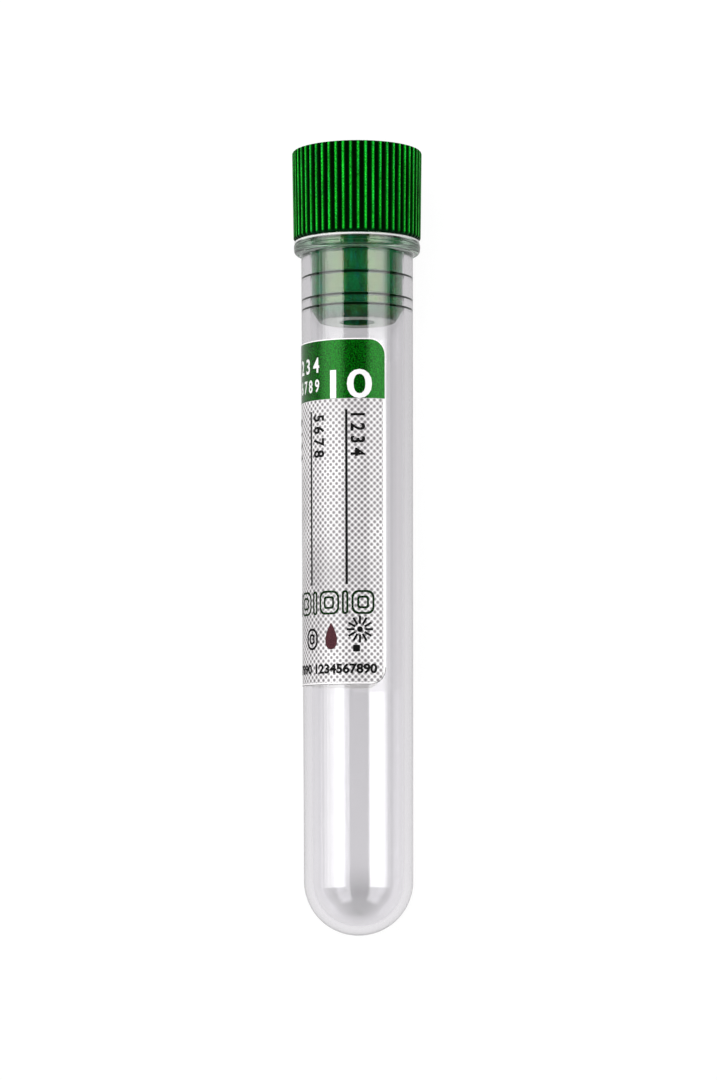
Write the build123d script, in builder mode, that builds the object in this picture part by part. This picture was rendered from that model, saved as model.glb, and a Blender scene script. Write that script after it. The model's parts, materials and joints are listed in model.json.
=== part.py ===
"""Blood collection tube: a clear round-bottomed tube, its push-in stopper and its wrap label.

Millimetres. The tube lies at rest on the plane Z = 0, on the ball of its tail and on the ribs of
the stopper's head, which is towards -X. The origin is on that plane, below the part's middle.
"""

from build123d import *
from math import asin, atan2, cos, degrees, hypot, pi, sin
import os

# ---------------------------------------------------------------- driving dimensions
# Tube: its diameter is taken under the bead, and it narrows by the taper towards the tail
tube_length = 100.0
tube_diameter = 16.2
tube_taper = 0.6
tube_wall = 1.25
mouth_lead_in = 0.4

# Bead around the tube's mouth, with a narrower rim on top of it
bead_projection = 1.06
bead_height = 1.9
bead_rounding_share = 0.6
rim_step = 0.08
rim_height = 0.6

# Stopper head, hollow from its top, a little wider than the bead and wider still at its top
head_overhang = 0.07
head_flare = 0.2
head_height = 13.1
head_top_rounding = 0.35
head_seat_chamfer = 0.4
head_wall = 1.4
seat_thickness = 1.6
seat_clearance = 0.05

# Grip ribs around the head, left standing between round-bottomed grooves
rib_count = 54
groove_share = 0.62
crest_rounding = 0.12
crest_rounding_limit = 0.4

# Plug inside the mouth, with sealing rings placed above the top of its end cone
plug_length = 11.85
plug_wall = 1.3
plug_clearance = 0.25
plug_cone_length = 1.35
plug_cone_inset = 1.02
well_corner_radius = 1.0
dimple_diameter = 5.3
dimple_depth = 1.0
rings_above_cone = (0.45, 1.9, 5.15)
ring_thickness = 0.5
ring_clearance = 0.03

# Label, wrapped around the tube
label_length = 49.3
label_width = 33.5
label_thickness = 0.1
label_from_mouth = 15.2
label_corner_radius = 2.4
label_edge_angle = 32.0
adhesive_gap = 0.02

# ---------------------------------------------------------------- heights and radii
# Heights run along the axis from the tail to the head.
tail_radius = (tube_diameter - tube_taper) / 2
tail_inner_radius = tail_radius - tube_wall
bead_radius = tube_diameter / 2 + bead_projection
bead_bottom = tube_length - bead_height
head_seat_radius = bead_radius + head_overhang
head_top_radius = head_seat_radius + head_flare
head_seat = tube_length + seat_clearance
head_top = head_seat + head_height
plug_end = tube_length - plug_length
wall_slope = tube_taper / 2 / (bead_bottom - tail_radius)
rib_pitch = 2 * pi * head_seat_radius / rib_count
groove_radius = rib_pitch * groove_share / 2
crest_radius = min(crest_rounding, crest_rounding_limit * rib_pitch * (1 - groove_share))


def outer_radius(height):
    """Outside radius of the tube's tapered wall."""
    return tail_radius + wall_slope * (height - tail_radius)


def bore_radius(height):
    """Inside radius of the tube's tapered wall."""
    return outer_radius(height) - tube_wall


def plug_radius(height):
    """Radius of the plug between its rings."""
    return bore_radius(height) - plug_clearance


def rib_radius(height):
    """Radius over the ribs of the head's tapered side."""
    return head_seat_radius + head_flare * (height - head_seat) / head_height


# ---------------------------------------------------------------- how the part lies
def lean_onto(height):
    """Angle of the floor to the axis when it touches the tail's ball and two ribs at this height."""
    rib_offset = groove_radius + crest_radius
    drop = rib_radius(height) * cos(asin(rib_offset / rib_radius(height)))
    reach = height - tail_radius
    return atan2(drop, reach) - asin(tail_radius / hypot(reach, drop))


lean = max(lean_onto(head_seat + head_seat_chamfer), lean_onto(head_top - head_top_rounding))

# Both ends are found from the centre of the tail's ball, which then goes where they balance.
tail_reach = tail_radius
head_reach = (head_top - tail_radius) * cos(lean) + (head_top_radius - head_top_rounding) * sin(lean)
ball_x = (head_reach - tail_reach) / 2

toward_head = Vector(-cos(lean), 0, sin(lean))
upward = Vector(sin(lean), 0, cos(lean))
tail_point = Vector(ball_x, 0, tail_radius) - toward_head * tail_radius
tube_axis = Axis(tail_point, toward_head)


def section_at(angle):
    """Plane through the axis: its x is the radius at this angle from upward, its y is the height."""
    across = upward.rotate(Axis((0, 0, 0), toward_head), angle)
    return Plane(tail_point, x_dir=across, z_dir=across.cross(toward_head))


def cross_plane(height):
    """Plane across the axis at a height, with its x upward."""
    return Plane(tail_point, x_dir=upward, z_dir=toward_head).offset(height)


section = section_at(0)

# ---------------------------------------------------------------- tube
rim_radius = bead_radius - rim_step
rim_bottom = tube_length - rim_height
lead_in_bottom = tube_length - mouth_lead_in
bead_rounding = bead_projection * bead_rounding_share
bead_round_middle = (bead_radius - bead_rounding, bead_bottom + bead_rounding)

with BuildPart() as tube:
    with BuildSketch(section):
        with BuildLine():
            outer_tail = CenterArc((0, tail_radius), tail_radius, -90, 90)
            bead_under = CenterArc(bead_round_middle, bead_rounding, -90, 90)
            Polyline(outer_tail @ 1, (tube_diameter / 2, bead_bottom), bead_under @ 0)
            rim_and_bore = Polyline(
                bead_under @ 1,
                (bead_radius, rim_bottom),
                (rim_radius, rim_bottom),
                (rim_radius, tube_length),
                (bore_radius(tube_length) + mouth_lead_in, tube_length),
                (bore_radius(lead_in_bottom), lead_in_bottom),
                (tail_inner_radius, tail_radius),
            )
            inner_tail = CenterArc((0, tail_radius), tail_inner_radius, 0, -90)
            Line(inner_tail @ 1, outer_tail @ 0)
        make_face()
    revolve(axis=tube_axis)
tube.part.label = "tube"

# ---------------------------------------------------------------- stopper
plug_cone_top = plug_end + plug_cone_length
plug_end_radius = plug_radius(plug_cone_top) - plug_cone_inset
dimple_top = plug_end + dimple_depth
well_floor = dimple_top + plug_wall
head_well_floor = head_seat + seat_thickness
head_well_radius = head_seat_radius - groove_radius - head_wall
plug_well_radius = plug_radius(plug_cone_top) - plug_wall
groove_start = 180

with BuildSketch() as ribbed_outline:
    Circle(head_seat_radius)
    with PolarLocations(head_seat_radius, rib_count, start_angle=groove_start):
        Circle(groove_radius, mode=Mode.SUBTRACT)
    fillet(ribbed_outline.vertices(), radius=crest_radius)

with BuildPart() as stopper:
    # Ribbed head, a little wider at its top, with both of its outer edges eased
    with BuildSketch(cross_plane(head_seat)):
        add(ribbed_outline.sketch)
    with BuildSketch(cross_plane(head_top)):
        add(ribbed_outline.sketch)
        scale(by=head_top_radius / head_seat_radius)
    loft(ruled=True)
    with BuildSketch(section) as head_envelope:
        with BuildLine():
            Polyline(
                (0, head_seat),
                (head_seat_radius, head_seat),
                (head_top_radius, head_top),
                (0, head_top),
                close=True,
            )
        make_face()
        outer_corners = vertices().sort_by_distance((head_top_radius, head_top))
        fillet(outer_corners[0], radius=head_top_rounding)
        seat_corners = vertices().sort_by_distance((head_seat_radius, head_seat))
        chamfer(seat_corners[0], length=head_seat_chamfer)
    revolve(axis=tube_axis, mode=Mode.INTERSECT)
    # Plug, down to its coned end
    with BuildSketch(section):
        with BuildLine():
            Polyline(
                (0, head_seat),
                (plug_radius(head_seat), head_seat),
                (plug_radius(plug_cone_top), plug_cone_top),
                (plug_end_radius, plug_end),
                (0, plug_end),
                close=True,
            )
        make_face()
    revolve(axis=tube_axis)
    # Sealing rings, each a rounded lip that stands out from the plug to the bore
    for ring_rise in rings_above_cone:
        ring_middle = plug_cone_top + ring_rise
        root_radius = plug_radius(ring_middle) - plug_clearance
        with BuildSketch(section):
            with BuildLine():
                lip = ThreePointArc(
                    (root_radius, ring_middle - ring_thickness / 2),
                    (bore_radius(ring_middle) - ring_clearance, ring_middle),
                    (root_radius, ring_middle + ring_thickness / 2),
                )
                Line(lip @ 1, lip @ 0)
            make_face()
        revolve(axis=tube_axis)
    # Well moulded in from the top, and the dimple in the plug's end
    with BuildSketch(section):
        with BuildLine():
            Polyline(
                (0, head_top),
                (head_well_radius, head_top),
                (head_well_radius, head_well_floor),
                (plug_well_radius, head_well_floor),
                (plug_well_radius, well_floor),
                (0, well_floor),
                close=True,
            )
        make_face()
        floor_corners = vertices().sort_by_distance((plug_well_radius, well_floor))
        fillet(floor_corners[0], radius=well_corner_radius)
    revolve(axis=tube_axis, mode=Mode.SUBTRACT)
    with BuildSketch(cross_plane(plug_end)):
        Circle(dimple_diameter / 2)
    extrude(amount=dimple_depth, mode=Mode.SUBTRACT)
stopper.part.label = "stopper"

# ---------------------------------------------------------------- label
label_top = tube_length - label_from_mouth
label_bottom = label_top - label_length
label_middle = (label_top + label_bottom) / 2
label_face_radius = outer_radius(label_middle) + adhesive_gap + label_thickness
label_arc = degrees(label_width / label_face_radius)
label_middle_angle = label_edge_angle - label_arc / 2
corner_arc = degrees(label_corner_radius / label_face_radius)
corner_block = label_corner_radius + label_thickness


def wall_plane(height, angle):
    """Plane that faces out of the wall: its x runs around the tube and its y toward the head."""
    outward = upward.rotate(Axis((0, 0, 0), toward_head), angle)
    centre = tail_point + toward_head * height
    return Plane(centre, x_dir=toward_head.cross(outward), z_dir=outward)


with BuildPart() as label:
    with BuildSketch(section_at(label_edge_angle - label_arc)):
        with BuildLine():
            back_bottom = (outer_radius(label_bottom) + adhesive_gap, label_bottom)
            back_top = (outer_radius(label_top) + adhesive_gap, label_top)
            Polyline(
                back_bottom,
                (back_bottom[0] + label_thickness, label_bottom),
                (back_top[0] + label_thickness, label_top),
                back_top,
                close=True,
            )
        make_face()
    revolve(axis=tube_axis, revolution_arc=label_arc)
    # Each corner is rounded by a square block with a disc left out of it
    for end in (-1, 1):
        for side in (-1, 1):
            corner_height = label_middle + end * (label_length / 2 - label_corner_radius)
            corner_angle = label_middle_angle + side * (label_arc / 2 - corner_arc)
            with BuildSketch(wall_plane(corner_height, corner_angle)):
                with Locations((side * corner_block / 2, end * corner_block / 2)):
                    Rectangle(corner_block, corner_block)
                Circle(label_corner_radius, mode=Mode.SUBTRACT)
            extrude(amount=bead_radius, mode=Mode.SUBTRACT)
label.part.label = "label"

# ---------------------------------------------------------------- files
os.makedirs("parts", exist_ok=True)
export_step(tube.part, "parts/tube.step")
export_step(stopper.part, "parts/stopper.step")
export_step(label.part, "parts/label.step")
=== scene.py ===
# %% [markdown]
# # A blood collection tube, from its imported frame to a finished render
# The real object has three pieces: a clear tube with a round end, a green stopper that is pushed
# into its mouth, and a paper label that wraps most of the way around it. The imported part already
# holds their sizes and how they fit. This script gives them their looks: the rounded edges, the
# print, the plastics and the light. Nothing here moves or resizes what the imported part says.

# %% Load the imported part
import json
from math import acos, atan2, ceil, cos, degrees, pi, radians, sin, tan

import bmesh
import bpy
from mathutils import Matrix, Vector


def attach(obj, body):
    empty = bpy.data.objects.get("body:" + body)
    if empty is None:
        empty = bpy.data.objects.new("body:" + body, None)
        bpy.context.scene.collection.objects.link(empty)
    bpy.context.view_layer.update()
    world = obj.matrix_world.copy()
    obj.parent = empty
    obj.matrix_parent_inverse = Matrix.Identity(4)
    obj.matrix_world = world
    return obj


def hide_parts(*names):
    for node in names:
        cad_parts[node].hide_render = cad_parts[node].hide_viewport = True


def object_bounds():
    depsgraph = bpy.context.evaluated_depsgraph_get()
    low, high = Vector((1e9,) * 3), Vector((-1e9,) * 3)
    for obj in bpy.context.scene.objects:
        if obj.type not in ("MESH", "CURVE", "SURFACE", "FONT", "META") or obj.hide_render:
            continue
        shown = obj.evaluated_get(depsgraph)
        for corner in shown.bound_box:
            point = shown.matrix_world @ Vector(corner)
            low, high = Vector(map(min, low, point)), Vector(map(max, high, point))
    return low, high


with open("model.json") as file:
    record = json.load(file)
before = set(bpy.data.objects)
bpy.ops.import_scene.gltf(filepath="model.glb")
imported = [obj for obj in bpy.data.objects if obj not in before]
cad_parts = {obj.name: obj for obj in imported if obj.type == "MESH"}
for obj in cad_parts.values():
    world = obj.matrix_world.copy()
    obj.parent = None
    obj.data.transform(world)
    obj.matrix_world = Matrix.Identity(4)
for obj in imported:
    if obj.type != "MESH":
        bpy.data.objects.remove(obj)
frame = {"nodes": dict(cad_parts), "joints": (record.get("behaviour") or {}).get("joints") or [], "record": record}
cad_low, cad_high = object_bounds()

# %% [markdown]
# ## Working along the tube
# The tube lies down, and leans a little because its head is fatter than its tail. Shapes that are
# turned about an axis are easiest to draw upright, so every piece is modelled standing on its tail
# in millimetres, with its height along Z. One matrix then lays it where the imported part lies.
# The axis comes from the slide joint of the stopper, and a point on it from the barrel mount.

# %% Find the tube's axis and its tail
MM = 0.001
mounts = {mount["name"]: mount for mount in frame["record"]["mounts"]}
toward_head = Vector(frame["joints"][0]["axis"]).normalized()
sideways = Vector((0, 1, 0))
upward = sideways.cross(toward_head)
on_axis = Vector(mounts["barrel"]["pos_m"])


def heights_of(node):
    """Lowest and highest point of a CAD node along the axis, in metres from the barrel mount."""
    along = [(vertex.co - on_axis).dot(toward_head) for vertex in frame["nodes"][node].data.vertices]
    return min(along), max(along)


tail_below, mouth_above = heights_of("tube")
tail_point = on_axis + toward_head * tail_below
tube_length = (mouth_above - tail_below) / MM
lying = Matrix((upward, sideways, toward_head)).transposed().to_4x4()
lying.translation = tail_point
print(f"tube {tube_length:.2f} mm long, leaning {degrees(acos(upward.z)):.2f} degrees")

# %% [markdown]
# ## The tube's own sizes
# The wall is a hair thinner across at the tail than at the mouth, because a moulded tube has to
# slide off its core. The bead is the thicker ring around the mouth.

# %% Sizes of the tube
tube_diameter = 16.2
tube_taper = 0.6
tube_wall = 1.25
bead_projection = 1.06
bead_height = 1.9
rim_step = 0.08
rim_height = 0.6

tail_radius = (tube_diameter - tube_taper) / 2
bead_radius = tube_diameter / 2 + bead_projection
bead_bottom = tube_length - bead_height
wall_slope = tube_taper / 2 / (bead_bottom - tail_radius)


def outer_radius(height):
    """Outside radius of the tapered wall at a height above the tail."""
    return tail_radius + wall_slope * (height - tail_radius)


def bore_radius(height):
    """Inside radius of the tapered wall."""
    return outer_radius(height) - tube_wall


print(f"wall {tube_wall} mm, bore {2 * bore_radius(tube_length):.2f} mm across at the mouth")

# %% [markdown]
# ## Drawing an outline with rounded corners
# A moulded edge is never knife sharp: it has a small radius, and that radius is what catches the
# light. So an outline is written as a few corners, each with its rounding, and a helper replaces
# every corner with an arc. The arc gets as many points as its size needs to look smooth, and one
# more point just outside each end, so that smooth shading stays flat on the straight runs.

# %% Rounded outlines
FLATNESS = 0.003
SUPPORT = 0.05
LEAST_STEPS = 3


def rounded(corners):
    """The points of an open outline, from (x, y, rounding) corners. Both ends stay sharp."""
    points = [Vector(corners[0][:2])]
    for before, corner, after in zip(corners, corners[1:], corners[2:]):
        here = Vector(corner[:2])
        rounding = corner[2]
        to_before = Vector(before[:2]) - here
        to_after = Vector(after[:2]) - here
        half = to_before.angle(to_after) / 2
        reach = rounding / tan(half)
        support_before = min(SUPPORT, (to_before.length - reach) / 4)
        support_after = min(SUPPORT, (to_after.length - reach) / 4)
        to_before.normalize()
        to_after.normalize()
        middle = here + (to_before + to_after).normalized() * rounding / sin(half)
        start = here + to_before * reach - middle
        end = here + to_after * reach - middle
        first = atan2(start.y, start.x)
        turn = (atan2(end.y, end.x) - first + pi) % (2 * pi) - pi
        steps = max(LEAST_STEPS, ceil(abs(turn) / (2 * acos(1 - min(0.5, FLATNESS / rounding)))))
        points.append(middle + start + to_before * support_before)
        for step in range(steps + 1):
            angle = first + turn * step / steps
            points.append(middle + Vector((cos(angle), sin(angle))) * rounding)
        points.append(middle + end + to_after * support_after)
    points.append(Vector(corners[-1][:2]))
    return points


# %% [markdown]
# ## Turning an outline into a solid
# The tube and the stopper are both turned shapes, so a lathe helper does for both. It spins each
# point of an outline into a ring of vertices and joins each ring to the next. A point on the axis
# becomes a single pole. The ribbed head needs many more vertices around than the plug, so rings
# may differ in their number: the helper joins each coarse step to a whole number of fine ones.

# %% The lathe
def add_object(name, data):
    """A new object in the scene."""
    made = bpy.data.objects.new(name, data)
    bpy.context.scene.collection.objects.link(made)
    return made


def add_piece(name, mesh_data, body, material, replaced=None):
    """Lays a finished mesh along the tube, shades it smooth and ties it to its CAD body."""
    mesh = bpy.data.meshes.new(name)
    mesh_data.to_mesh(mesh)
    mesh_data.free()
    mesh.shade_smooth()
    mesh.materials.append(material)
    piece = add_object(name, mesh)
    piece.matrix_world = lying
    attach(piece, body)
    if replaced:
        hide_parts(replaced)
    print(f"{name}: {len(mesh.vertices)} vertices, {len(mesh.polygons)} faces")
    return piece


def evenly_around(count):
    """Places of a plain turned ring: each an angle, with no groove cut into it and no rib."""
    return [(2 * pi * step / count, 0.0, 0.0) for step in range(count)]


def turned(runs, rib_depth=0.0):
    """A closed solid from runs of (outline, places around, greatest radius, shade).

    A place is an angle, the depth cut there, and how far it is from the middle of a rib, from 0 to
    1. The greatest radius is a function of the height, and only a ribbed run has one: it counts as
    ribbed down to half the rib depth. The shade is a function of radius and height, for painted shade
    and painted reflection: 1 where the painted shade is darkest, 0 where the plastic is plain, and less
    than 0 where a painted reflection tints it. All of these are kept on the vertices for the finish to
    read.
    """
    solid = bmesh.new()
    ribbed = solid.verts.layers.float.new("ribbed")
    from_rib = solid.verts.layers.float.new("from_rib")
    shaded = solid.verts.layers.float.new("shaded")
    rings = []
    for outline, around, limit, shade in runs:
        for radius, height in outline:
            ring = []
            for angle, depth, off_rib in around if radius else around[:1]:
                across = min(radius, limit(height) - depth) if limit else radius
                place = Vector((across * cos(angle), across * sin(angle), height))
                ring.append(solid.verts.new(place * MM))
                ring[-1][from_rib] = off_rib
                if limit and radius > limit(height) - rib_depth / 2:
                    ring[-1][ribbed] = 1.0
                if shade:
                    ring[-1][shaded] = shade(radius, height)
            rings.append(ring)
    for lower, upper in zip(rings, rings[1:]):
        fine, coarse = sorted((lower, upper), key=len, reverse=True)
        step = len(fine) // len(coarse)
        for index in range(len(fine) if len(coarse) == 1 else len(coarse)):
            if len(coarse) == 1:
                face = [fine[index], fine[(index + 1) % len(fine)], coarse[0]]
            else:
                run = [fine[(index * step + extra) % len(fine)] for extra in range(step + 1)]
                face = run + [coarse[(index + 1) % len(coarse)], coarse[index]]
            solid.faces.new(face)
    bmesh.ops.recalc_face_normals(solid, faces=solid.faces)
    return solid


def finish_faces(piece, material, wanted):
    """Gives a second finish to the faces that are wanted, and returns how many there are."""
    piece.data.materials.append(material)
    chosen = [face for face in piece.data.polygons if wanted(face)]
    for face in chosen:
        face.material_index = 1
    return len(chosen)


# %% [markdown]
# ## Wiring up a material
# A finish is a small tree of nodes that ends at the Material Output. Written out one node and one
# link at a time, a tree gets long and hard to follow. So one helper adds a node and fills its
# inputs, with plain values or with the outputs of other nodes, and a few more stand for the nodes
# that every finish uses: a sum, a change of range, a mix of colours and a mix of shaders.

# %% Node helpers
def new_material(name):
    """An empty node material and its Material Output."""
    material = bpy.data.materials.new(name)
    material.use_nodes = True
    material.node_tree.nodes.clear()
    output = material.node_tree.nodes.new("ShaderNodeOutputMaterial")
    return material, material.node_tree, output


def feed(tree, socket, value):
    """Gives an input a plain value, or links it to the output of another node."""
    if isinstance(value, bpy.types.NodeSocket):
        tree.links.new(value, socket)
    else:
        socket.default_value = value


def add_node(tree, kind, **values):
    """Adds a node. A value sets the property of its name, or else feeds the input of that name."""
    node = tree.nodes.new(kind)
    for name, value in values.items():
        if hasattr(node, name):
            setattr(node, name, value)
        else:
            feed(tree, node.inputs[name.replace("_", " ")], value)
    return node


def fed(tree, node, *values):
    """Feeds a node's inputs from the first one on, and gives its first output."""
    for socket, value in zip(node.inputs, values):
        feed(tree, socket, value)
    return node.outputs[0]


def maths(tree, operation, *numbers, **options):
    """The result of a Math node."""
    return fed(tree, add_node(tree, "ShaderNodeMath", operation=operation, **options), *numbers)


def remapped(tree, value, given=(0.0, 1.0), wanted=(0.0, 1.0), kind="LINEAR"):
    """A value moved from the range it is given in to the range that is wanted."""
    node = add_node(tree, "ShaderNodeMapRange", interpolation_type=kind, Value=value,
                    From_Min=given[0], From_Max=given[1], To_Min=wanted[0], To_Max=wanted[1])
    return node.outputs["Result"]


def mixed(tree, factor, first, second, blend_type="MIX"):
    """A mix of two colours."""
    node = add_node(tree, "ShaderNodeMix", data_type="RGBA", blend_type=blend_type,
                    Factor=factor, A=first, B=second)
    return node.outputs["Result"]


def mixed_shaders(tree, factor, first, second):
    """A mix of two shaders."""
    return fed(tree, add_node(tree, "ShaderNodeMixShader"), factor, first, second)


def ramp(tree, factor, stops):
    """The colour at a factor along a ramp of (position, colour) stops."""
    node = add_node(tree, "ShaderNodeValToRGB", Fac=factor)
    elements = node.color_ramp.elements
    for element, (position, colour) in zip(elements, (stops[0], stops[-1])):
        element.position = position
        element.color = (*colour, 1)
    for position, colour in stops[1:-1]:
        elements.new(position).color = (*colour, 1)
    return node.outputs["Color"]


def bumped(tree, height, strength, depth):
    """The normal of a surface with a relief of a depth in millimetres."""
    node = add_node(tree, "ShaderNodeBump", Strength=strength, Distance=depth * MM, Height=height)
    return node.outputs["Normal"]


def vertex_mark(tree, name):
    """A number that the mesh keeps on its vertices."""
    return add_node(tree, "ShaderNodeAttribute", attribute_name=name).outputs["Fac"]


def place_on(tree):
    """The place on the object itself."""
    return add_node(tree, "ShaderNodeTexCoord").outputs["Object"]


def new_group(name, inputs, outputs):
    """A shader node group with named sockets, and its input and output nodes."""
    group = bpy.data.node_groups.new(name, "ShaderNodeTree")
    for socket, kind, value in inputs:
        made = group.interface.new_socket(socket, in_out="INPUT", socket_type=kind)
        if value is not None:
            made.default_value = value
    for socket, kind in outputs:
        group.interface.new_socket(socket, in_out="OUTPUT", socket_type=kind)
    return group, group.nodes.new("NodeGroupInput"), group.nodes.new("NodeGroupOutput")


# %% [markdown]
# ## A grain that several finishes share
# Moulded plastic and coated paper both have a fine grain, only at other sizes. A node group holds
# it once. It puts out a height for a relief and a tone that shifts the colour a little, and each
# material gives it its own sizes in millimetres. The shaders themselves stay in the materials.

# %% Fine grain
grain, grain_in, grain_out = new_group(
    "fine_grain",
    [
        ("Place", "NodeSocketVector", None),
        ("Grain size", "NodeSocketFloat", 0.1),
        ("Patch size", "NodeSocketFloat", 4.0),
    ],
    [("Height", "NodeSocketFloat"), ("Tone", "NodeSocketFloat")],
)
for size, detail, result in (("Grain size", 2.0, "Height"), ("Patch size", 3.0, "Tone")):
    per_metre = maths(grain, "DIVIDE", 1 / MM, grain_in.outputs[size])
    noise = add_node(grain, "ShaderNodeTexNoise", Detail=detail, Scale=per_metre,
                     Vector=grain_in.outputs["Place"])
    grain.links.new(noise.outputs["Fac"], grain_out.inputs[result])


def grained(tree, place, grain_size, patch_size):
    """Places the grain in a material, with its sizes in millimetres."""
    return add_node(tree, "ShaderNodeGroup", node_tree=grain, Place=place,
                    Grain_size=grain_size, Patch_size=patch_size)


def drawn_out(tree, place, share):
    """Stretches a place along the tube, so that what is laid out on it turns into streaks."""
    node = add_node(tree, "ShaderNodeMapping", Vector=place, Scale=(1.0, 1.0, share))
    return node.outputs["Vector"]


print("groups:", [group.name for group in bpy.data.node_groups])

# %% [markdown]
# ## Clear moulded plastic
# The tube is polystyrene or a plastic like it: clear, glossy, and bending light as its index of
# 1.59 says. A trace of tint makes the doubled walls read as pale grey. Real walls are not optically
# flat, so a very long, very shallow waviness along the flow of the plastic softens the reflections.
# Lamps would not light what is inside a refracting solid, so for shadow rays the plastic is plainly
# transparent. Dark lines where tight corners and parting lines turn the light away are painted shade,
# and the green that the bead mirrors from the stopper it sits against is a painted reflection. So the
# tube's vertices carry a mark, from -1 for that painted green through 0 for clear to 1 for the painted
# dark lines.

# %% Clear plastic
PAINTED_BEAD_REFLECTION = (0.6, 1.0, 0.68)
CLEAR_TINT = (0.93, 0.925, 0.94)
PAINTED_LINE_SHADE = (0.01, 0.014, 0.008)


def clear_plastic():
    """The tube's plastic."""
    material, tree, output = new_material("clear_plastic")
    waves = grained(tree, drawn_out(tree, place_on(tree), 0.12), grain_size=2.5, patch_size=9.0)
    haze = remapped(tree, waves.outputs["Tone"], wanted=(0.0, 0.03))
    along_ramp = remapped(tree, vertex_mark(tree, "shaded"), given=(-1.0, 1.0))
    # The mark picks painted green reflection, clear plastic or painted shade
    tint = ramp(tree, along_ramp, [(0.0, PAINTED_BEAD_REFLECTION), (0.5, CLEAR_TINT), (1.0, PAINTED_LINE_SHADE)])
    plastic = add_node(tree, "ShaderNodeBsdfPrincipled", IOR=1.59, Transmission_Weight=1.0,
                       Base_Color=tint, Roughness=haze,
                       Normal=bumped(tree, waves.outputs["Height"], strength=0.25, depth=0.02))
    lets_light_by = add_node(tree, "ShaderNodeBsdfTransparent", Color=(0.93, 0.93, 0.94, 1))
    ray = add_node(tree, "ShaderNodeLightPath")
    choice = mixed_shaders(tree, ray.outputs["Is Shadow Ray"], plastic.outputs[0],
                           lets_light_by.outputs[0])
    feed(tree, output.inputs["Surface"], choice)
    return material


# %% [markdown]
# ## Satin green polyethylene
# The stopper is a soft, waxy plastic moulded in a spark-eroded tool, so its ribs have a fine
# speckled grain that breaks up the highlights. Its colour is deep, and shifts in streaks along the
# ribs, some of them a little bluer. The grooves between the ribs lie in shade, so each vertex knows
# how far it is from the middle of its rib, and a ramp paints a highlight onto the crests and shade
# into the grooves. Each finish also has a dark colour for painted shade where the vertices mark it.
# The plug is moulded in a smoother part of the tool, so that it seals, and gets a finish of its own
# from the same recipe: a shallower grain and a paler shine.

# %% Green stopper plastic
# Painted highlight on the crests, fading into painted shade in the grooves
CREST_HIGHLIGHT_TO_GROOVE_SHADE = [
    (0.0, (0.01, 0.46, 0.025)),
    (0.18, (0.005, 0.28, 0.012)),
    (0.33, (0.0, 0.07, 0.002)),
    (0.47, (0.0, 0.012, 0.0)),
    (0.65, (0.0, 0.0015, 0.0)),
]
NOISE_SPAN = (0.3, 0.7)
BLUER = (1.0, 0.95, 2.2, 1)


def stopper_plastic(name, plain, dark, roughness, relief, shine, tint):
    """The stopper's plastic: its own plain colour, dark colour for painted shade, gloss, depth of grain, shine."""
    material, tree, output = new_material(name)
    place = place_on(tree)
    texture = grained(tree, place, grain_size=0.16, patch_size=3.0)
    streaks = grained(tree, drawn_out(tree, place, 0.2), grain_size=0.5, patch_size=1.3)
    off_rib = vertex_mark(tree, "from_rib")
    ribs = ramp(tree, off_rib, CREST_HIGHLIGHT_TO_GROOVE_SHADE)
    side = mixed(tree, vertex_mark(tree, "ribbed"), (*plain, 1), ribs)
    # Where the vertices mark it, the dark colour is painted shade
    shade = mixed(tree, vertex_mark(tree, "shaded"), side, (*dark, 1))
    mottle = remapped(tree, streaks.outputs["Tone"], NOISE_SPAN, (0.5, 1.45))
    speckle = remapped(tree, texture.outputs["Height"], NOISE_SPAN, (0.25, 1.8))
    shift = maths(tree, "MULTIPLY", mottle, speckle)
    colour = mixed(tree, 1.0, shade, shift, "MULTIPLY")
    cool = remapped(tree, streaks.outputs["Height"], (0.48, 0.7))
    sheen = remapped(tree, texture.outputs["Tone"], wanted=roughness)
    in_groove = remapped(tree, off_rib, (0.3, 0.55), (0.0, 0.6))
    plastic = add_node(tree, "ShaderNodeBsdfPrincipled", IOR=1.5, Specular_IOR_Level=shine,
                       Specular_Tint=(*tint, 1),
                       Base_Color=mixed(tree, cool, colour, BLUER, "MULTIPLY"),
                       Roughness=maths(tree, "ADD", sheen, in_groove, use_clamp=True),
                       Normal=bumped(tree, texture.outputs["Height"], strength=0.6, depth=relief))
    feed(tree, output.inputs["Surface"], plastic.outputs[0])
    return material


# %% [markdown]
# ## The tube
# One closed solid: the outside runs from the pole of the tail up to the bead, over the lip, and
# back down the bore to the inside of the tail. Light bends at both skins, so both are modelled.

# %% Draw the tube's outline
lip_height = tube_length - rim_height
rim_radius = bead_radius - rim_step
seam_height = bead_bottom + 0.8
seam_depth = 0.06
seam_half = 0.07
seam_step = 0.02
root_fillet = 0.35
bead_rounding = 0.6
crease_rounding = 0.02
step_rounding = 0.03
rim_rise = 0.26
lip_rounding = 0.12
lead_in = 0.15
lead_in_rounding = 0.05

tube_outline = rounded([
    (0, 0),
    (outer_radius(0), 0, outer_radius(0)),
    (outer_radius(bead_bottom), bead_bottom, root_fillet),
    (bead_radius - seam_step, bead_bottom, bead_rounding),
    (bead_radius - seam_step, seam_height - seam_half, crease_rounding),
    (bead_radius - seam_depth, seam_height, crease_rounding),
    (bead_radius, seam_height + seam_half, crease_rounding),
    (bead_radius, lip_height, step_rounding),
    (rim_radius - seam_depth, lip_height + seam_step, step_rounding),
    (rim_radius, lip_height + rim_rise, step_rounding),
    (rim_radius, tube_length, lip_rounding),
    (bore_radius(tube_length) + lead_in, tube_length, lead_in_rounding),
    (bore_radius(tube_length - lead_in), tube_length - lead_in, lead_in_rounding),
    (bore_radius(tube_wall), tube_wall, bore_radius(tube_wall)),
    (0, tube_wall),
])
print(len(tube_outline), "points in the tube's outline")

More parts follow.
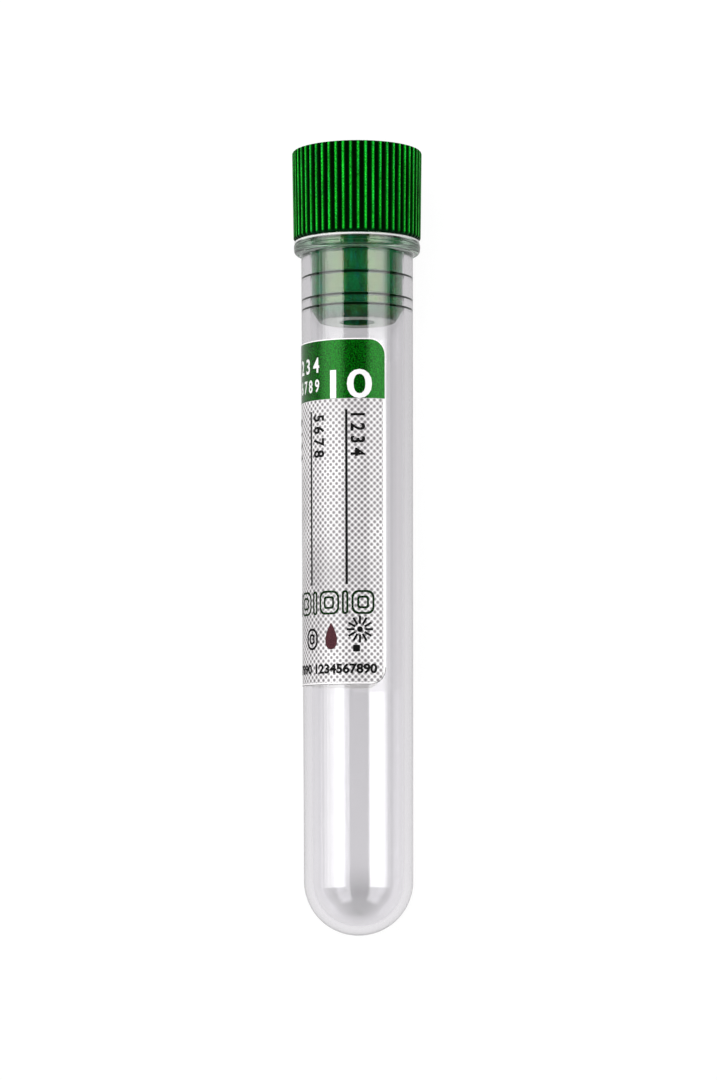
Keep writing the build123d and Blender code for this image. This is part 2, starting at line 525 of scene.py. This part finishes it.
# %% Model the tube
# Each line of painted shade has a lowest and a highest point, and a radius that it stays within
rim_line = (lip_height - 0.04, lip_height + 0.06, bead_radius + 0.01)
bead_line = (bead_bottom + 0.16, bead_bottom + 0.2, bead_radius)
root_start = bead_bottom - root_fillet
root_line = (root_start - 0.005, root_start + 0.1, bead_radius)


def in_corners(radius, height):
    """Painted shade at the rim's step, bead corner and root; a painted reflection of green on the bead."""
    for low, high, greatest in (rim_line, bead_line, root_line):
        if low < height < high and bore_radius(height) + 0.3 < radius < greatest:
            return 1.0
    on_bead = bead_bottom - 0.01 < height < lip_height and radius > outer_radius(bead_bottom) + 0.2
    return -1.0 if on_bead else 0.0


tube_ring = evenly_around(192)
tube = add_piece("clear_tube", turned([(tube_outline, tube_ring, None, in_corners)]),
                 "tube", clear_plastic(), "tube")

# %% [markdown]
# ## The stopper's ribs
# The head is gripped by 54 ribs, left standing between round-bottomed grooves. One groove is drawn
# from its middle to the middle of the next rib, as two arcs: the groove itself and the small
# rounding of the rib's edge. Mirrored and repeated, that gives every place around the head its
# angle and the depth that is cut there.

# %% Lay out the ribs
head_overhang = 0.07
head_flare = 0.2
head_height = 13.1
seat_clearance = 0.05
rib_count = 54
groove_share = 0.62
crest_rounding = 0.12

head_seat = tube_length + seat_clearance
head_top = head_seat + head_height
head_seat_radius = bead_radius + head_overhang
head_top_radius = head_seat_radius + head_flare
rib_pitch = 2 * pi * head_seat_radius / rib_count
groove_radius = rib_pitch * groove_share / 2


def rib_radius(height):
    """Radius over the ribs."""
    return head_seat_radius + head_flare * (height - head_seat) / head_height


def groove_to_crest():
    """(distance around, depth) from the middle of a groove to the middle of the next rib."""
    quarter = radians(90)
    lift = quarter - acos(crest_rounding / (groove_radius + crest_rounding))
    rounding_middle = (groove_radius + crest_rounding) * cos(lift)
    points = []
    for share in (0, 0.35, 0.7, 1):
        angle = quarter + (lift - quarter) * share
        points.append((groove_radius * cos(angle), groove_radius * sin(angle)))
    for share in (0.5, 1):
        angle = lift + (quarter - lift) * share
        points.append((rounding_middle - crest_rounding * cos(angle),
                       crest_rounding - crest_rounding * sin(angle)))
    points.append((rib_pitch / 2, 0.0))
    return points


half_rib = groove_to_crest()
whole_rib = half_rib + [(rib_pitch - place, depth) for place, depth in half_rib[-2:0:-1]]
rib_places = []
for rib in range(rib_count):
    for place, depth in whole_rib:
        off_rib = abs(place - rib_pitch / 2) / (rib_pitch / 2)
        rib_places.append(((rib * rib_pitch + place) / head_seat_radius, depth, off_rib))
plug_places = [(place[0], 0.0, 0.0) for place in rib_places[::4]]
print(f"{rib_count} ribs, {len(whole_rib)} places each, {len(plug_places)} around the plug")

# %% [markdown]
# ## The stopper
# Head and plug are one moulding. The plug is a cup that goes down into the mouth, with three
# sealing rings that press into the wall. Because they are squeezed there, they touch the plastic
# with no air between, and the wall then shows them as dark lines right across the tube; that darkness
# is painted shade on the rings. The head and plug are cored from the top, as such stoppers are, and
# the plug's end has a shallow dimple.

# %% Sizes of the stopper
plug_length = 11.85
plug_clearance = 0.25
plug_cone_length = 1.35
plug_cone_inset = 1.02
plug_wall = 1.3
head_wall = 1.4
seat_thickness = 1.6
dimple_radius = 2.65
dimple_depth = 1.0
rings_above_cone = (0.45, 1.9, 5.15)
ring_squeeze = 0.02
ring_root_half = 0.26
ring_tip_half = 0.13

plug_end = tube_length - plug_length
plug_cone_top = plug_end + plug_cone_length
dimple_top = plug_end + dimple_depth
well_floor = dimple_top + plug_wall
head_well_floor = head_seat + seat_thickness
head_well_radius = head_seat_radius - groove_radius - head_wall


def plug_radius(height):
    """Radius of the plug between its rings."""
    return bore_radius(height) - plug_clearance


plug_well_radius = plug_radius(plug_cone_top) - plug_wall
print(f"wells {2 * head_well_radius:.2f} mm across in the head, {2 * plug_well_radius:.2f} in the plug")


# %% Draw the stopper's outlines
def sealing_ring(height):
    """The corners of one ring's lip, with its root on the plug and its tip in the wall."""
    tip = bore_radius(height) + ring_squeeze
    root_low = height - ring_root_half
    root_high = height + ring_root_half
    return [
        (plug_radius(root_low), root_low, 0.05),
        (tip, height - ring_tip_half, 0.04),
        (tip, height + ring_tip_half, 0.04),
        (plug_radius(root_high), root_high, 0.05),
    ]


# The fine rings of the head start a step away from the coarse ones of the plug and of the well
join_step = 0.1
seat_join = bead_radius - 1.0
top_join = head_top_radius - 0.9
plug_corners = [
    (0, dimple_top),
    (dimple_radius, dimple_top, 0.15),
    (dimple_radius, plug_end, 0.15),
    (plug_radius(plug_cone_top) - plug_cone_inset, plug_end, 0.25),
]
for rise in rings_above_cone:
    plug_corners += sealing_ring(plug_cone_top + rise)
plug_corners += [
    (plug_radius(head_seat), head_seat, 0.12),
    (seat_join, head_seat),
]
head_outline = rounded([
    (seat_join + join_step, head_seat),
    (head_seat_radius - 0.4, head_seat, 0.1),
    (head_seat_radius, head_seat + 0.4, 0.12),
    (head_top_radius, head_top, 0.35),
    (top_join + join_step, head_top),
])
well_outline = rounded([
    (top_join, head_top),
    (head_well_radius, head_top, 0.3),
    (head_well_radius, head_well_floor, 0.4),
    (plug_well_radius, head_well_floor, 0.3),
    (plug_well_radius, well_floor, 1.0),
    (0, well_floor),
])

# %% Model the stopper
# The head's lower edge gets painted shade over this height above its seat
edge_shade = 0.55


def on_plug(radius, height):
    """Painted shade: darkest on the rings, where they press into the wall, then the end cone, the dimple."""
    if height > plug_end + 0.3 and radius < dimple_radius + 0.01:
        return 0.3
    if plug_end < height < plug_cone_top and radius > dimple_radius + 0.5:
        return 0.8
    on_ring = plug_radius(height) + plug_clearance / 2 < radius < seat_join - join_step
    return 1.0 if on_ring else 0.0


def on_head(_, height):
    """Painted shade on the head's lower edge, which curves away from the light."""
    return min(1.0, max(0.0, (edge_shade - (height - head_seat)) / (edge_shade / 2)))


def below_the_head(face):
    """True for the faces of the plug, apart from its rings."""
    radius = face.center.xy.length / MM
    height = face.center.z / MM
    return height < head_seat and on_plug(radius, height) < 1


# The dark colours are painted shade: near black on the head, teal on the plug
head_green = stopper_plastic("green_stopper", plain=(0.001, 0.095, 0.026), dark=(0.0, 0.006, 0.001),
                             roughness=(0.3, 0.42), relief=0.03, shine=0.07, tint=(0.06, 0.9, 0.12))
plug_green = stopper_plastic("green_plug", plain=(0.0, 0.1, 0.029), dark=(0.0, 0.016, 0.018),
                             roughness=(0.14, 0.24), relief=0.025, shine=0.5, tint=(0.9, 1.0, 0.02))
stopper_runs = [
    (rounded(plug_corners), plug_places, None, on_plug),
    (head_outline, rib_places, rib_radius, on_head),
    (well_outline, plug_places, None, None),
]
stopper = add_piece("ribbed_stopper", turned(stopper_runs, rib_depth=groove_radius),
                    "stopper", head_green, "stopper")
print(finish_faces(stopper, plug_green, below_the_head), "faces have the plug's smoother finish")

# %% [markdown]
# ## Drawing on the label
# The label is flat paper before it goes round the tube, and its print is easiest to lay out flat
# too. Places on it are given as millimetres around from its right edge, and down from its top. One
# helper thickens a flat drawing into a thin closed slab and wraps it onto the wall. Each layer of
# print is a slab of its own, a few hundredths of a millimetre above the one below it, so that its
# edges stay crisp at any distance.

# %% Wrap flat drawings around the wall
label_length = 49.3
label_width = 33.5
label_from_mouth = 15.2
label_edge_angle = 32.0
label_corner_radius = 2.4
label_face = 0.08
adhesive_face = -0.02
column = 0.5

label_top = tube_length - label_from_mouth
label_face_radius = outer_radius(label_top - label_length / 2) + label_face


def on_wall(around, down, out):
    """A place on the wrapped label: around from its right edge, down from its top, out of the wall."""
    angle = radians(label_edge_angle) - around / label_face_radius
    height = label_top - down
    radius = outer_radius(height) + out
    return Vector((radius * cos(angle), radius * sin(angle), height)) * MM


def put_in_order(elements, key):
    """Orders and numbers a mesh's elements, so that every run gives the same mesh."""
    rank = {element: number for number, element in enumerate(sorted(elements, key=key))}
    elements.sort(key=rank.get)
    elements.index_update()


def place_and_faces(vertex):
    """A vertex's place, and the middles of its faces to tell it from another at the same place."""
    return vertex.co[:], sorted(face.calc_center_median()[:] for face in vertex.link_faces)


def corner_numbers(element):
    """The numbers of the vertices of an edge or a face."""
    return sorted(vertex.index for vertex in element.verts)


def wrapped(drawing, inner, outer):
    """Thickens a flat drawing between two distances out of the wall and bends it around the tube."""
    for step in range(1, ceil(label_width / column)):
        everything = drawing.verts[:] + drawing.edges[:] + drawing.faces[:]
        bmesh.ops.bisect_plane(drawing, geom=everything, plane_co=(step * column, 0, 0),
                               plane_no=(1, 0, 0), dist=1e-4)
    lower = set(drawing.verts)
    bmesh.ops.extrude_face_region(drawing, geom=drawing.faces[:], use_keep_orig=True)
    for vertex in drawing.verts:
        vertex.co = on_wall(vertex.co.x, vertex.co.y, inner if vertex in lower else outer)
    bmesh.ops.recalc_face_normals(drawing, faces=drawing.faces)
    put_in_order(drawing.verts, place_and_faces)
    put_in_order(drawing.edges, corner_numbers)
    put_in_order(drawing.faces, corner_numbers)
    for edge in drawing.edges:
        edge.smooth = edge.calc_face_angle(0) < radians(30)
    return drawing


# %% [markdown]
# ## Shapes for the print
# Everything printed is made from four kinds of mark: a filled shape with rounded corners, the same
# shape as an outline, a straight stroke, and plain numerals from Blender's own font. The numerals
# only stand where a real label has its words, so they say nothing: they count up.

# %% Marks
def loop_around(corners):
    """The closed loop through (around, down, rounding) corners."""
    return rounded([corners[-1]] + corners + [corners[0]])[1:-1]


def box_corners(around, down, width, height, rounding):
    """The corners of a box, from its right edge and its top."""
    return [
        (around, down, rounding),
        (around, down + height, rounding),
        (around + width, down + height, rounding),
        (around + width, down, rounding),
    ]


def fill(drawing, loop):
    """Adds one filled shape to a flat drawing."""
    drawing.faces.new([drawing.verts.new((place[0], place[1], 0)) for place in loop])


def outline_box(drawing, around, down, width, height, rounding, line):
    """Adds a box drawn as a line of the given width, with rounded corners."""
    outer = loop_around(box_corners(around, down, width, height, rounding))
    middle = Vector((around + width / 2, down + height / 2))
    shrink = Vector(((width - 2 * line) / width, (height - 2 * line) / height))
    inner = [middle + Vector(((place.x - middle.x) * shrink.x, (place.y - middle.y) * shrink.y))
             for place in outer]
    rows = [[drawing.verts.new((place.x, place.y, 0)) for place in loop] for loop in (outer, inner)]
    for index in range(len(outer)):
        following = (index + 1) % len(outer)
        drawing.faces.new((rows[0][index], rows[0][following], rows[1][following], rows[1][index]))


def stroke(drawing, start, end, width):
    """Adds a straight line between two places."""
    start, end = Vector(start), Vector(end)
    side = (end - start).orthogonal().normalized() * width / 2
    fill(drawing, [start + side, end + side, end - side, start - side])


def dot(drawing, middle, radius):
    """Adds a round dot."""
    turn = 2 * pi / 20
    fill(drawing, [(middle[0] + radius * cos(step * turn), middle[1] + radius * sin(step * turn))
                   for step in range(20)])


def numerals(drawing, text, around, down, width, height, weight=0.0, reading_down=False):
    """Adds numerals that fill a box, given by its right edge and top. Read down, they turn a quarter."""
    letters = bpy.data.curves.new("numerals", "FONT")
    letters.body = text
    letters.dimensions = "2D"
    letters.resolution_u = 4
    letters.offset = weight
    holder = add_object("numerals", letters)
    bpy.context.view_layer.update()
    shaped = holder.evaluated_get(bpy.context.evaluated_depsgraph_get())
    mesh = bpy.data.meshes.new_from_object(shaped)
    bpy.data.objects.remove(holder)
    bpy.data.curves.remove(letters)
    xs = [vertex.co.x for vertex in mesh.vertices]
    ys = [vertex.co.y for vertex in mesh.vertices]
    for vertex in mesh.vertices:
        along = (vertex.co.x - min(xs)) / (max(xs) - min(xs))
        below = (max(ys) - vertex.co.y) / (max(ys) - min(ys))
        if reading_down:
            vertex.co = (around + width * below, down + height * along, 0)
        else:
            vertex.co = (around + width * (1 - along), down + height * below, 0)
    drawing.from_mesh(mesh)
    bpy.data.meshes.remove(mesh)
    bmesh.ops.remove_doubles(drawing, verts=drawing.verts, dist=1e-4)


# %% [markdown]
# ## Paper and inks
# The label stock is coated white paper with a semi-gloss skin. Most of its field carries a screen
# of grey dots on a slanted grid. The dots come from a cell texture with no randomness, laid out in
# millimetres around and along the wall, and they swell and fade in wide patches as a cheap screen
# does. The inks are thin glossy films with the same fine grain as the paper below them.

# %% Places on the wall, for textures
wall_place, place_in, place_out = new_group(
    "wall_place",
    [("Place", "NodeSocketVector", None), ("Radius", "NodeSocketFloat", 8.0)],
    [("Around and along", "NodeSocketVector")],
)
parts = add_node(wall_place, "ShaderNodeSeparateXYZ", Vector=place_in.outputs["Place"])
turn_angle = maths(wall_place, "ARCTAN2", parts.outputs["Y"], parts.outputs["X"])
joined = add_node(wall_place, "ShaderNodeCombineXYZ",
                  X=maths(wall_place, "MULTIPLY", turn_angle, place_in.outputs["Radius"]),
                  Y=maths(wall_place, "DIVIDE", parts.outputs["Z"], MM))
wall_place.links.new(joined.outputs[0], place_out.inputs[0])

# %% Label paper
band_height = 8.6
dot_margin = 0.45
dot_pitch = 0.647
dot_slant = radians(45)
dot_core = 0.19
dot_edges = (0.52, 0.78)
paper_white = (0.82, 0.8, 0.81, 1)
dot_grey = (0.15, 0.14, 0.145, 1)
foot_margin = 0.3
field_half = (label_length - band_height - foot_margin) / 2
field_middle = label_top - band_height - field_half
gap_half = (2 * pi * label_face_radius - label_width) / 2
gap_middle = radians(label_edge_angle) * label_face_radius + gap_half


def within(tree, place, middle, half, operation="LESS_THAN"):
    """1 where a place is less (or greater) than half a width away from a middle, and else 0."""
    distance = maths(tree, "ABSOLUTE", maths(tree, "SUBTRACT", place, middle))
    return maths(tree, operation, distance, half)


def label_paper():
    """Coated paper with a screen of grey dots on its white field."""
    material, tree, output = new_material("label_paper")
    place = place_on(tree)
    on_label = add_node(tree, "ShaderNodeGroup", node_tree=wall_place, Radius=label_face_radius,
                        Place=place).outputs[0]
    slant = add_node(tree, "ShaderNodeMapping", Rotation=(0, 0, dot_slant), Vector=on_label)
    screen = add_node(tree, "ShaderNodeTexVoronoi", voronoi_dimensions="2D", Randomness=0.0,
                      Scale=1 / dot_pitch, Vector=slant.outputs["Vector"])
    texture = grained(tree, place, grain_size=0.12, patch_size=9.0)
    dot_edge = remapped(tree, texture.outputs["Tone"], NOISE_SPAN, dot_edges)
    dots = remapped(tree, screen.outputs["Distance"], (dot_core, dot_edge), (1.0, 0.0))
    where = add_node(tree, "ShaderNodeSeparateXYZ", Vector=on_label)
    across = within(tree, where.outputs["X"], gap_middle, gap_half + dot_margin, "GREATER_THAN")
    along = within(tree, where.outputs["Y"], field_middle, field_half)
    printed = maths(tree, "MULTIPLY", maths(tree, "MULTIPLY", dots, across), along)
    paper = add_node(tree, "ShaderNodeBsdfPrincipled", Roughness=0.14,
                     Base_Color=mixed(tree, printed, paper_white, dot_grey),
                     Normal=bumped(tree, texture.outputs["Height"], strength=0.5, depth=0.012))
    feed(tree, output.inputs["Surface"], paper.outputs[0])
    return material


# %% Inks
def ink(name, light, dark, roughness, shine, tint=(1, 1, 1), relief=0.015, dulling=0.0, painted_glow=0.0):
    """A thin film whose colour, relief and gloss wander in fine grains. A painted glow stands in for light."""
    material, tree, output = new_material(name)
    height = grained(tree, place_on(tree), grain_size=0.18, patch_size=2.0).outputs["Height"]
    colour = mixed(tree, remapped(tree, height, (0.32, 0.6)), (*light, 1), (*dark, 1))
    film = add_node(tree, "ShaderNodeBsdfPrincipled", Specular_IOR_Level=shine,
                    Specular_Tint=(*tint, 1), Emission_Color=(*light, 1), Emission_Strength=painted_glow,
                    Base_Color=colour, Normal=bumped(tree, height, strength=0.8, depth=relief),
                    Roughness=remapped(tree, height, (0.4, 0.65), (roughness, roughness + dulling)))
    feed(tree, output.inputs["Surface"], film.outputs[0])
    return material


green_ink = ink("green_ink", (0.001, 0.125, 0.003), (0.0, 0.005, 0.0), 0.1, 0.65, (0.2, 1, 0.22),
                relief=0.03, dulling=0.1)
black_ink = ink("black_ink", (0.008, 0.008, 0.008), (0.002, 0.002, 0.002), 0.5, 0.05)
white_ink = ink("white_ink", (0.78, 0.77, 0.78), (0.7, 0.69, 0.7), 0.14, 0.5)
maroon_ink = ink("maroon_ink", (0.07, 0.016, 0.022), (0.035, 0.006, 0.01), 0.4, 0.1)
leaf_ink = ink("leaf_green_ink", (0.003, 0.03, 0.003), (0.0, 0.005, 0.0), 0.4, 0.05)

# %% Model the label
label_shape = bmesh.new()
fill(label_shape, loop_around(box_corners(0, 0, label_width, label_length, label_corner_radius)))
label = add_piece("paper_label", wrapped(label_shape, adhesive_face, label_face),
                  "tube", label_paper(), "label")
# The label's back has a painted glow, standing in for light that reaches it through the tube
label_back = ink("label_back", (0.9, 0.885, 0.87), (0.82, 0.805, 0.79), 0.4, 0.3, painted_glow=0.2)
back_count = finish_faces(label, label_back, lambda face: face.normal.xy.dot(face.center.xy) < 0)
print(f"{back_count} faces show the label's plain back")

# %% [markdown]
# ## The painted highlight on the rim
# Close under the stopper's head, the rim of the tube shows as a thin pale line. It is a painted
# highlight: only its colour and gloss differ from the clear plastic, so the recipe of the inks makes a
# finish for it, on the few faces that run around the rim.

# %% Paint a highlight on the rim
lip_highlight_from = lip_height + rim_rise + 0.02
lip_highlight_to = tube_length - lip_rounding - 0.01


def on_lip(face):
    """True for the faces around the outside of the rim."""
    on_outside = face.center.xy.length / MM > rim_radius - 0.05
    return on_outside and lip_highlight_from < face.center.z / MM < lip_highlight_to


# A painted highlight: a pale, opaque finish on the rim's outside faces
painted_lip_highlight = ink("painted_lip_highlight", (0.7, 0.7, 0.7), (0.5, 0.5, 0.5), 0.5, 0.1)
print(finish_faces(tube, painted_lip_highlight, on_lip), "faces of the rim are frosted")

# %% [markdown]
# ## The print
# A green band crosses the top, with a thin pale margin left around it. Its large white number runs
# down into the white field. Below it come three ruled lines with small numerals beside them, a row
# of outlined cells to tick, a few plain marks, and a line of numerals at the foot.

# %% Print the band
layer = 0.012


def print_film(name, drawing, finish, lift=0.0):
    """Wraps a flat drawing as a raised film of ink. The lift sets it on top of another film."""
    add_piece(name, wrapped(drawing, label_face - layer + lift, label_face + layer + lift),
              "tube", finish)


band_margin = 0.16
inner_corner = label_corner_radius - band_margin
band_end = label_width - band_margin
band = bmesh.new()
fill(band, loop_around([
    (band_margin, band_margin, inner_corner),
    (band_margin, band_height, 0.05),
    (band_end, band_height, 0.05),
    (band_end, band_margin, inner_corner),
]))
print_film("label_green_band", band, green_ink)

large_top = 4.45
small_start = 10.1
small_width = 6.6
white = bmesh.new()
numerals(white, "10", 2.1, large_top, 6.1, band_height - large_top + 0.02, weight=0.012)
numerals(white, "1 2 3 4", small_start, 2.5, small_width, 2.2, weight=0.02)
numerals(white, "5 6 7 8 9", small_start, 5.6, small_width, 1.9, weight=0.02)
print_film("label_white_numerals", white, white_ink, lift=layer)

# %% Print the ruled lines, marks and numerals
rule_top = 10.2
rule_length = 24.9
rule_width = 0.36
rule_pitch = 6.1
first_rule = 5.6
black = bmesh.new()
for row in range(5):
    at = first_rule + row * rule_pitch
    fill(black, loop_around(box_corners(at, rule_top, rule_width, rule_length, 0.05)))
    count = " ".join(str((4 * row + digit) % 9 + 1) for digit in range(4))
    numerals(black, count, at - 2.5, rule_top + 0.55, 2.1, 6.15, weight=0.03, reading_down=True)

ray_count = 12
ray_start = 0.75
ray_end = 1.9
ray_width = 0.32
ray_middle = Vector((3.9, 41.5))
for step in range(ray_count):
    ray_angle = 2 * pi * step / ray_count
    direction = Vector((cos(ray_angle), sin(ray_angle)))
    stroke(black, ray_middle + direction * ray_start, ray_middle + direction * ray_end, ray_width)
dot(black, ray_middle, 0.42)

# A thin black line along the label's lower edge and corners is painted shadow under that edge
edge_inset = 0.03
edge_shadow_line = 0.07
edge_top = label_length - label_corner_radius - 0.1
edge_shadow_loops = []
for inset in (edge_inset, edge_inset + edge_shadow_line):
    edge_box = box_corners(inset, inset, label_width - 2 * inset, label_length - 2 * inset,
                           label_corner_radius - inset)
    edge_shadow_loops.append(loop_around(edge_box))
outer_edge, inner_edge = edge_shadow_loops
for here in range(len(outer_edge)):
    following = (here + 1) % len(outer_edge)
    if min(outer_edge[here].y, outer_edge[following].y) > edge_top:
        fill(black, [outer_edge[here], outer_edge[following], inner_edge[following],
                     inner_edge[here]])

fill(black, loop_around(box_corners(3.9, 43.7, 1.0, 0.95, 0.1)))
outline_box(black, 10.6, 41.2, 2.6, 3.1, 1.25, 0.34)
outline_box(black, 11.3, 42.0, 1.2, 1.5, 0.5, 0.32)
numerals(black, "1234567890 1234567890 1234567890", 1.4, 46.3, 30.8, 1.45, weight=0.04)
print_film("label_black_print_and_edge_shadow", black, black_ink)

# %% Print the cells and the drop
cell_top = 35.95
cell_height = 3.4
cell_line = 0.3
cells = bmesh.new()
for cell in range(6):
    at = 1.8 + cell * 5.1
    outline_box(cells, at, cell_top, 3.3, cell_height, 1.0, cell_line)
    outline_box(cells, at + 0.8, cell_top + 0.8, 1.7, 1.8, 0.4, cell_line)
    outline_box(cells, at + 3.75, cell_top, 0.95, cell_height, 0.45, cell_line)
print_film("label_tick_cells", cells, leaf_ink)

drop_points = 28
drop_around = 8.2
drop_down = 42.4
drop_loop = []
for step in range(drop_points):
    turn = 2 * pi * step / drop_points
    drop_loop.append((drop_around - 1.25 * sin(turn) * sin(turn / 2), drop_down - 1.9 * cos(turn)))
drop = bmesh.new()
fill(drop, drop_loop)
print_film("label_maroon_drop", drop, maroon_ink)

# %% [markdown]
# ## The camera
# The camera stands level with the lower part of the tube and tilts a little towards the head, so
# the rims and rings show as shallow arches. It is placed about the tube's own axis.

# %% Place the camera
camera_distance = 464.6
camera_height = 17.6
camera_turn = radians(2.25)
camera_tilt = radians(4.8)
camera_roll = radians(0.143)
camera_aside = 0.1
camera_lens = 107.87
film_width = 36

across = (upward * cos(camera_turn) + sideways * sin(camera_turn)).normalized()
look = -across * cos(camera_tilt) + toward_head * sin(camera_tilt)
right = look.cross(toward_head).normalized()
top = right.cross(look)
leaned_top = top * cos(camera_roll) + right * sin(camera_roll)
leaned_right = look.cross(leaned_top)
camera_data = bpy.data.cameras.new("camera")
camera_data.sensor_width = film_width
camera_data.lens = camera_lens
camera_data.clip_start = 0.01
camera = add_object("camera", camera_data)
camera.matrix_world = Matrix((leaned_right, leaned_top, -look)).transposed().to_4x4()
camera.location = (tail_point + across * camera_distance * MM
                   + toward_head * camera_height * MM + right * camera_aside * MM)
bpy.context.scene.camera = camera
print("camera at", [round(value, 4) for value in camera.location])

# %% [markdown]
# ## Floor, sky and lamps
# The floor and the world are plain white to the eye, and a written grey where a reflection or a
# view through the plastic meets them. The two bright bands down the tube mirror long soft boxes.
# Each side has three of them, one laid over the other, so that the bands fade at their outer edge.
# A wide box in front lights the colours alone, and no surface mirrors it.

# %% Lay the floor
WHITE = (1, 1, 1, 1)
# Around where the tail touches, the floor that clear plastic shows gets a painted shadow
contact_x = cad_high.x - 4 * MM
contact_reach = 7.5 * MM
seen_strength = 1.04
seen_shadow_share = 0.12
mirrored_strength = 0.6


def glowing(tree, strength, colour=WHITE):
    """The output of an Emission node."""
    return add_node(tree, "ShaderNodeEmission", Color=colour, Strength=strength).outputs[0]


def backdrop_material():
    """White to the eye with a share of shadow, and a written grey in reflections and clear plastic."""
    material, tree, output = new_material("white_floor")
    ray = add_node(tree, "ShaderNodeLightPath")
    painted = add_node(tree, "ShaderNodeBsdfDiffuse", Color=(0.8, 0.8, 0.8, 1)).outputs[0]
    place = place_on(tree)
    along = add_node(tree, "ShaderNodeSeparateXYZ", Vector=place)
    toward_tail = remapped(tree, along.outputs["X"], (cad_low.x, cad_high.x), (0.58, 0.89))
    # Painted shadow: darker near where the tail rests on the floor
    from_tail = add_node(tree, "ShaderNodeVectorMath", operation="DISTANCE")
    fed(tree, from_tail, place, (contact_x, 0, 0))
    contact_shade = remapped(tree, from_tail.outputs["Value"], (0.0, contact_reach), (0.6, 1.0),
                             "SMOOTHSTEP")
    through = glowing(tree, maths(tree, "MULTIPLY", toward_tail, contact_shade), (1, 0.985, 1, 1))
    seen = mixed_shaders(tree, seen_shadow_share, glowing(tree, seen_strength), painted)
    glossy = mixed_shaders(tree, ray.outputs["Is Glossy Ray"], painted,
                           glowing(tree, mirrored_strength))
    indirect = mixed_shaders(tree, ray.outputs["Is Transmission Ray"], glossy, through)
    direct = mixed_shaders(tree, ray.outputs["Is Camera Ray"], indirect, seen)
    feed(tree, output.inputs["Surface"], direct)
    return material


floor_half = 2.0
floor_gap = 0.00002
floor_mesh = bpy.data.meshes.new("floor")
floor_corners = [(x * floor_half, y * floor_half, 0) for x, y in ((-1, -1), (1, -1), (1, 1), (-1, 1))]
floor_mesh.from_pydata(floor_corners, [], [(0, 1, 2, 3)])
floor_mesh.materials.append(backdrop_material())
floor = add_object("floor", floor_mesh)
floor.location.z = cad_low.z - floor_gap
print(f"floor {2 * floor_half:.0f} m wide at {floor.location.z:.5f} m")

# %% [markdown]
# ## The sky
# The sky is white to the camera. Reflections and clear plastic see it dark overhead and paler toward
# the ends of the tube, as in a room with dark walls, which draws the tube's edges. Light that has
# already been scattered by a surface meets an even fill instead.

# %% Light the world
fill_strength = 0.5
end_strength = 0.45
overhead_strength = 0.025

world = bpy.data.worlds.new("studio")
bpy.context.scene.world = world
world.use_nodes = True
sky = world.node_tree
sky.nodes.clear()
sky_output = add_node(sky, "ShaderNodeOutputWorld")


def sky_light(strength):
    """The output of a white Background node."""
    return add_node(sky, "ShaderNodeBackground", Color=WHITE, Strength=strength).outputs[0]


compass = add_node(sky, "ShaderNodeSeparateXYZ",
                   Vector=add_node(sky, "ShaderNodeTexCoord").outputs["Generated"])
toward_ends = remapped(sky, maths(sky, "ABSOLUTE", compass.outputs["X"]), (0.45, 0.75),
                       (overhead_strength, end_strength), "SMOOTHSTEP")
sky_ray = add_node(sky, "ShaderNodeLightPath")
sky_unseen = mixed_shaders(sky, sky_ray.outputs["Diffuse Depth"], sky_light(toward_ends),
                           sky_light(fill_strength))
sky_choice = mixed_shaders(sky, sky_ray.outputs["Is Camera Ray"], sky_unseen, sky_light(1.0))
feed(sky, sky_output.inputs["Surface"], sky_choice)
print(f"sky {overhead_strength} overhead, {end_strength} at the ends, {fill_strength} as fill")

# %% Hang the soft boxes
lamp_reach = 300
lamp_length = 430
lamp_height = 162
mirrored_brightness = 1.1
front_brightness = 1.4


def soft_box(name, start, end, brightness, mirrored):
    """A long lamp beside the tube, between two angles around it from the camera.

    A mirrored lamp shows in glossy and clear surfaces, and any other lights the colours alone.
    """
    half = abs(radians(end - start)) / 2
    angle = camera_turn + radians((start + end) / 2)
    outward = upward * cos(angle) + sideways * sin(angle)
    data = bpy.data.lights.new(name, "AREA")
    data.shape = "RECTANGLE"
    data.size = 2 * lamp_reach * sin(half) * MM
    data.size_y = lamp_length * MM
    data.energy = brightness * pi * data.size * data.size_y
    lamp = add_object(name, data)
    wide = outward.cross(toward_head)
    lamp.matrix_world = Matrix((wide, toward_head, outward)).transposed().to_4x4()
    from_tail = outward * lamp_reach * cos(half) + toward_head * lamp_height
    lamp.location = tail_point + from_tail * MM
    lamp.visible_camera = False
    lamp.visible_glossy = mirrored
    lamp.visible_transmission = mirrored
    lamp.visible_diffuse = not mirrored
    print(f"{name}: {data.size:.3f} x {data.size_y:.3f} m, {data.energy:.2f} W")


for outer in (-84, -76, -68):
    soft_box(f"left_box_{-outer}", outer, -30, mirrored_brightness, True)
for outer in (58, 64, 70):
    soft_box(f"right_box_{outer}", 23, outer, mirrored_brightness, True)
soft_box("front_box", -75, 42, front_brightness, False)

# %% [markdown]
# ## Finish
# The view stays plain: no film curve, so a colour renders as it is written.

# %% Finish
bpy.context.scene.view_settings.view_transform = "Standard"
